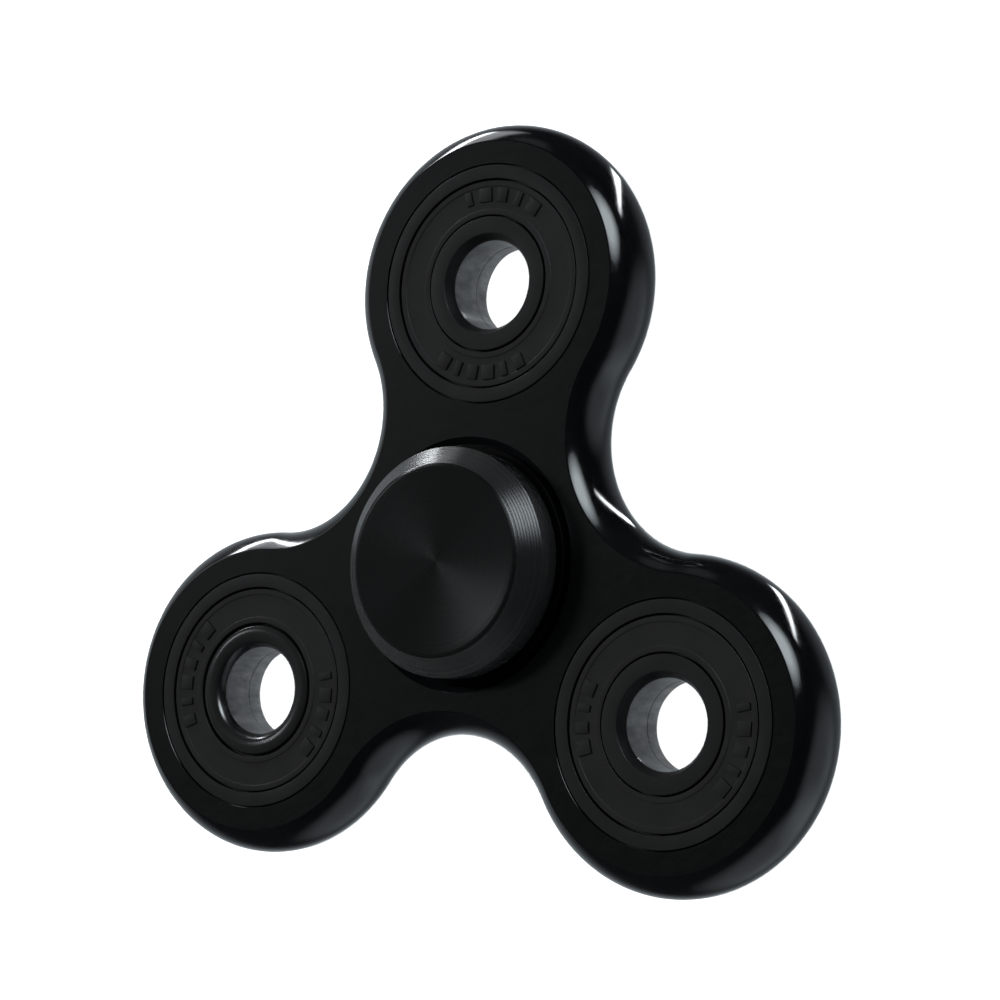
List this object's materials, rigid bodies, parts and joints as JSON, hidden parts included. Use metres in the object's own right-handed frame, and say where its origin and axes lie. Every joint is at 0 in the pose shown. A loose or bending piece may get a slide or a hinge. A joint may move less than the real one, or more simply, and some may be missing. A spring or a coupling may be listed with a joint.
{
  "type": "fidget spinner",
  "caption": "Hand spinner: rounded three-lobed metal body that turns on a centre bearing between two finger caps, with an open-bored bearing as a weight in each lobe.",
  "frame": {"origin": "on the spin axis, half way through the thickness of the body", "axes": "+Z along the spin axis out of the front face, +Y towards the top lobe, +X to the right of it"},
  "size_m": [0.0746, 0.0686, 0.0162],
  "materials": {
    "body_finish": "gloss black coating over faintly brushed cast metal",
    "cap_finish": "black anodised, fine turned rings",
    "ring_steel": "ground, dark reflections",
    "seal_rubber": "matt moulded",
    "cage_nylon": "moulded, slightly translucent",
    "ball_steel": "polished"
  },
  "bodies": {
    "hub": {"front_cap": "cap_finish", "back_cap": "cap_finish", "centre_inner_ring": "ring_steel"},
    "spinner": {"spinner_body": "body_finish", "centre_outer_ring": "ring_steel", "top_outer_ring": "ring_steel", "left_outer_ring": "ring_steel", "right_outer_ring": "ring_steel", "centre_front_seal": "seal_rubber", "centre_back_seal": "seal_rubber", "top_front_seal": "seal_rubber", "top_back_seal": "seal_rubber", "left_front_seal": "seal_rubber", "left_back_seal": "seal_rubber", "right_front_seal": "seal_rubber", "right_back_seal": "seal_rubber"},
    "top_ring": {"top_inner_ring": "ring_steel"},
    "left_ring": {"left_inner_ring": "ring_steel"},
    "right_ring": {"right_inner_ring": "ring_steel"},
    "centre_cage": {"centre_ball_cage": "cage_nylon"},
    "top_cage": {"top_ball_cage": "cage_nylon"},
    "left_cage": {"left_ball_cage": "cage_nylon"},
    "right_cage": {"right_ball_cage": "cage_nylon"},
    "centre_ball_1": {"centre_ball_1": "ball_steel"},
    "centre_ball_2": {"centre_ball_2": "ball_steel"},
    "centre_ball_3": {"centre_ball_3": "ball_steel"},
    "centre_ball_4": {"centre_ball_4": "ball_steel"},
    "centre_ball_5": {"centre_ball_5": "ball_steel"},
    "centre_ball_6": {"centre_ball_6": "ball_steel"},
    "centre_ball_7": {"centre_ball_7": "ball_steel"},
    "top_ball_1": {"top_ball_1": "ball_steel"},
    "top_ball_2": {"top_ball_2": "ball_steel"},
    "top_ball_3": {"top_ball_3": "ball_steel"},
    "top_ball_4": {"top_ball_4": "ball_steel"},
    "top_ball_5": {"top_ball_5": "ball_steel"},
    "top_ball_6": {"top_ball_6": "ball_steel"},
    "top_ball_7": {"top_ball_7": "ball_steel"},
    "left_ball_1": {"left_ball_1": "ball_steel"},
    "left_ball_2": {"left_ball_2": "ball_steel"},
    "left_ball_3": {"left_ball_3": "ball_steel"},
    "left_ball_4": {"left_ball_4": "ball_steel"},
    "left_ball_5": {"left_ball_5": "ball_steel"},
    "left_ball_6": {"left_ball_6": "ball_steel"},
    "left_ball_7": {"left_ball_7": "ball_steel"},
    "right_ball_1": {"right_ball_1": "ball_steel"},
    "right_ball_2": {"right_ball_2": "ball_steel"},
    "right_ball_3": {"right_ball_3": "ball_steel"},
    "right_ball_4": {"right_ball_4": "ball_steel"},
    "right_ball_5": {"right_ball_5": "ball_steel"},
    "right_ball_6": {"right_ball_6": "ball_steel"},
    "right_ball_7": {"right_ball_7": "ball_steel"}
  },
  "joints": [
    {"name": "spin", "type": "hinge", "parent": "hub", "child": "spinner", "pos_m": [0, 0, 0], "axis": [0, 0, 1], "continuous": true},
    {"name": "top_ring_spin", "type": "hinge", "parent": "spinner", "child": "top_ring", "pos_m": [0, 0.0256, 0], "axis": [0, 0, 1], "continuous": true},
    {"name": "left_ring_spin", "type": "hinge", "parent": "spinner", "child": "left_ring", "pos_m": [-0.02217, -0.0128, 0], "axis": [0, 0, 1], "continuous": true},
    {"name": "right_ring_spin", "type": "hinge", "parent": "spinner", "child": "right_ring", "pos_m": [0.02217, -0.0128, 0], "axis": [0, 0, 1], "continuous": true},
    {"name": "centre_cage_orbit", "type": "hinge", "parent": "hub", "child": "centre_cage", "pos_m": [0, 0, 0], "axis": [0, 0, 1], "continuous": true},
    {"name": "centre_ball_1_roll", "type": "hinge", "parent": "centre_cage", "child": "centre_ball_1", "pos_m": [0, 0.0075, 0], "axis": [0, 0, 1], "continuous": true},
    {"name": "centre_ball_2_roll", "type": "hinge", "parent": "centre_cage", "child": "centre_ball_2", "pos_m": [-0.00586, 0.00468, 0], "axis": [0, 0, 1], "continuous": true},
    {"name": "centre_ball_3_roll", "type": "hinge", "parent": "centre_cage", "child": "centre_ball_3", "pos_m": [-0.00731, -0.00167, 0], "axis": [0, 0, 1], "continuous": true},
    {"name": "centre_ball_4_roll", "type": "hinge", "parent": "centre_cage", "child": "centre_ball_4", "pos_m": [-0.00325, -0.00676, 0], "axis": [0, 0, 1], "continuous": true},
    {"name": "centre_ball_5_roll", "type": "hinge", "parent": "centre_cage", "child": "centre_ball_5", "pos_m": [0.00325, -0.00676, 0], "axis": [0, 0, 1], "continuous": true},
    {"name": "centre_ball_6_roll", "type": "hinge", "parent": "centre_cage", "child": "centre_ball_6", "pos_m": [0.00731, -0.00167, 0], "axis": [0, 0, 1], "continuous": true},
    {"name": "centre_ball_7_roll", "type": "hinge", "parent": "centre_cage", "child": "centre_ball_7", "pos_m": [0.00586, 0.00468, 0], "axis": [0, 0, 1], "continuous": true},
    {"name": "top_cage_orbit", "type": "hinge", "parent": "spinner", "child": "top_cage", "pos_m": [0, 0.0256, 0], "axis": [0, 0, 1], "continuous": true},
    {"name": "top_ball_1_roll", "type": "hinge", "parent": "top_cage", "child": "top_ball_1", "pos_m": [0, 0.0331, 0], "axis": [0, 0, 1], "continuous": true},
    {"name": "top_ball_2_roll", "type": "hinge", "parent": "top_cage", "child": "top_ball_2", "pos_m": [-0.00586, 0.03028, 0], "axis": [0, 0, 1], "continuous": true},
    {"name": "top_ball_3_roll", "type": "hinge", "parent": "top_cage", "child": "top_ball_3", "pos_m": [-0.00731, 0.02393, 0], "axis": [0, 0, 1], "continuous": true},
    {"name": "top_ball_4_roll", "type": "hinge", "parent": "top_cage", "child": "top_ball_4", "pos_m": [-0.00325, 0.01884, 0], "axis": [0, 0, 1], "continuous": true},
    {"name": "top_ball_5_roll", "type": "hinge", "parent": "top_cage", "child": "top_ball_5", "pos_m": [0.00325, 0.01884, 0], "axis": [0, 0, 1], "continuous": true},
    {"name": "top_ball_6_roll", "type": "hinge", "parent": "top_cage", "child": "top_ball_6", "pos_m": [0.00731, 0.02393, 0], "axis": [0, 0, 1], "continuous": true},
    {"name": "top_ball_7_roll", "type": "hinge", "parent": "top_cage", "child": "top_ball_7", "pos_m": [0.00586, 0.03028, 0], "axis": [0, 0, 1], "continuous": true},
    {"name": "left_cage_orbit", "type": "hinge", "parent": "spinner", "child": "left_cage", "pos_m": [-0.02217, -0.0128, 0], "axis": [0, 0, 1], "continuous": true},
    {"name": "left_ball_1_roll", "type": "hinge", "parent": "left_cage", "child": "left_ball_1", "pos_m": [-0.02217, -0.0053, 0], "axis": [0, 0, 1], "continuous": true},
    {"name": "left_ball_2_roll", "type": "hinge", "parent": "left_cage", "child": "left_ball_2", "pos_m": [-0.02803, -0.00812, 0], "axis": [0, 0, 1], "continuous": true},
    {"name": "left_ball_3_roll", "type": "hinge", "parent": "left_cage", "child": "left_ball_3", "pos_m": [-0.02948, -0.01447, 0], "axis": [0, 0, 1], "continuous": true},
    {"name": "left_ball_4_roll", "type": "hinge", "parent": "left_cage", "child": "left_ball_4", "pos_m": [-0.02542, -0.01956, 0], "axis": [0, 0, 1], "continuous": true},
    {"name": "left_ball_5_roll", "type": "hinge", "parent": "left_cage", "child": "left_ball_5", "pos_m": [-0.01892, -0.01956, 0], "axis": [0, 0, 1], "continuous": true},
    {"name": "left_ball_6_roll", "type": "hinge", "parent": "left_cage", "child": "left_ball_6", "pos_m": [-0.01486, -0.01447, 0], "axis": [0, 0, 1], "continuous": true},
    {"name": "left_ball_7_roll", "type": "hinge", "parent": "left_cage", "child": "left_ball_7", "pos_m": [-0.01631, -0.00812, 0], "axis": [0, 0, 1], "continuous": true},
    {"name": "right_cage_orbit", "type": "hinge", "parent": "spinner", "child": "right_cage", "pos_m": [0.02217, -0.0128, 0], "axis": [0, 0, 1], "continuous": true},
    {"name": "right_ball_1_roll", "type": "hinge", "parent": "right_cage", "child": "right_ball_1", "pos_m": [0.02217, -0.0053, 0], "axis": [0, 0, 1], "continuous": true},
    {"name": "right_ball_2_roll", "type": "hinge", "parent": "right_cage", "child": "right_ball_2", "pos_m": [0.01631, -0.00812, 0], "axis": [0, 0, 1], "continuous": true},
    {"name": "right_ball_3_roll", "type": "hinge", "parent": "right_cage", "child": "right_ball_3", "pos_m": [0.01486, -0.01447, 0], "axis": [0, 0, 1], "continuous": true},
    {"name": "right_ball_4_roll", "type": "hinge", "parent": "right_cage", "child": "right_ball_4", "pos_m": [0.01892, -0.01956, 0], "axis": [0, 0, 1], "continuous": true},
    {"name": "right_ball_5_roll", "type": "hinge", "parent": "right_cage", "child": "right_ball_5", "pos_m": [0.02542, -0.01956, 0], "axis": [0, 0, 1], "continuous": true},
    {"name": "right_ball_6_roll", "type": "hinge", "parent": "right_cage", "child": "right_ball_6", "pos_m": [0.02948, -0.01447, 0], "axis": [0, 0, 1], "continuous": true},
    {"name": "right_ball_7_roll", "type": "hinge", "parent": "right_cage", "child": "right_ball_7", "pos_m": [0.02803, -0.00812, 0], "axis": [0, 0, 1], "continuous": true}
  ],
  "couplings": [
    {"joint": "centre_cage_orbit", "follows": "spin", "ratio": 0.6323},
    {"joint": "centre_ball_1_roll", "follows": "spin", "ratio": 1.7573},
    {"joint": "centre_ball_2_roll", "follows": "spin", "ratio": 1.7573},
    {"joint": "centre_ball_3_roll", "follows": "spin", "ratio": 1.7573},
    {"joint": "centre_ball_4_roll", "follows": "spin", "ratio": 1.7573},
    {"joint": "centre_ball_5_roll", "follows": "spin", "ratio": 1.7573},
    {"joint": "centre_ball_6_roll", "follows": "spin", "ratio": 1.7573},
    {"joint": "centre_ball_7_roll", "follows": "spin", "ratio": 1.7573},
    {"joint": "top_cage_orbit", "follows": "top_ring_spin", "ratio": 0.3677},
    {"joint": "top_ball_1_roll", "follows": "top_ring_spin", "ratio": -1.7573},
    {"joint": "top_ball_2_roll", "follows": "top_ring_spin", "ratio": -1.7573},
    {"joint": "top_ball_3_roll", "follows": "top_ring_spin", "ratio": -1.7573},
    {"joint": "top_ball_4_roll", "follows": "top_ring_spin", "ratio": -1.7573},
    {"joint": "top_ball_5_roll", "follows": "top_ring_spin", "ratio": -1.7573},
    {"joint": "top_ball_6_roll", "follows": "top_ring_spin", "ratio": -1.7573},
    {"joint": "top_ball_7_roll", "follows": "top_ring_spin", "ratio": -1.7573},
    {"joint": "left_cage_orbit", "follows": "left_ring_spin", "ratio": 0.3677},
    {"joint": "left_ball_1_roll", "follows": "left_ring_spin", "ratio": -1.7573},
    {"joint": "left_ball_2_roll", "follows": "left_ring_spin", "ratio": -1.7573},
    {"joint": "left_ball_3_roll", "follows": "left_ring_spin", "ratio": -1.7573},
    {"joint": "left_ball_4_roll", "follows": "left_ring_spin", "ratio": -1.7573},
    {"joint": "left_ball_5_roll", "follows": "left_ring_spin", "ratio": -1.7573},
    {"joint": "left_ball_6_roll", "follows": "left_ring_spin", "ratio": -1.7573},
    {"joint": "left_ball_7_roll", "follows": "left_ring_spin", "ratio": -1.7573},
    {"joint": "right_cage_orbit", "follows": "right_ring_spin", "ratio": 0.3677},
    {"joint": "right_ball_1_roll", "follows": "right_ring_spin", "ratio": -1.7573},
    {"joint": "right_ball_2_roll", "follows": "right_ring_spin", "ratio": -1.7573},
    {"joint": "right_ball_3_roll", "follows": "right_ring_spin", "ratio": -1.7573},
    {"joint": "right_ball_4_roll", "follows": "right_ring_spin", "ratio": -1.7573},
    {"joint": "right_ball_5_roll", "follows": "right_ring_spin", "ratio": -1.7573},
    {"joint": "right_ball_6_roll", "follows": "right_ring_spin", "ratio": -1.7573},
    {"joint": "right_ball_7_roll", "follows": "right_ring_spin", "ratio": -1.7573}
  ]
}
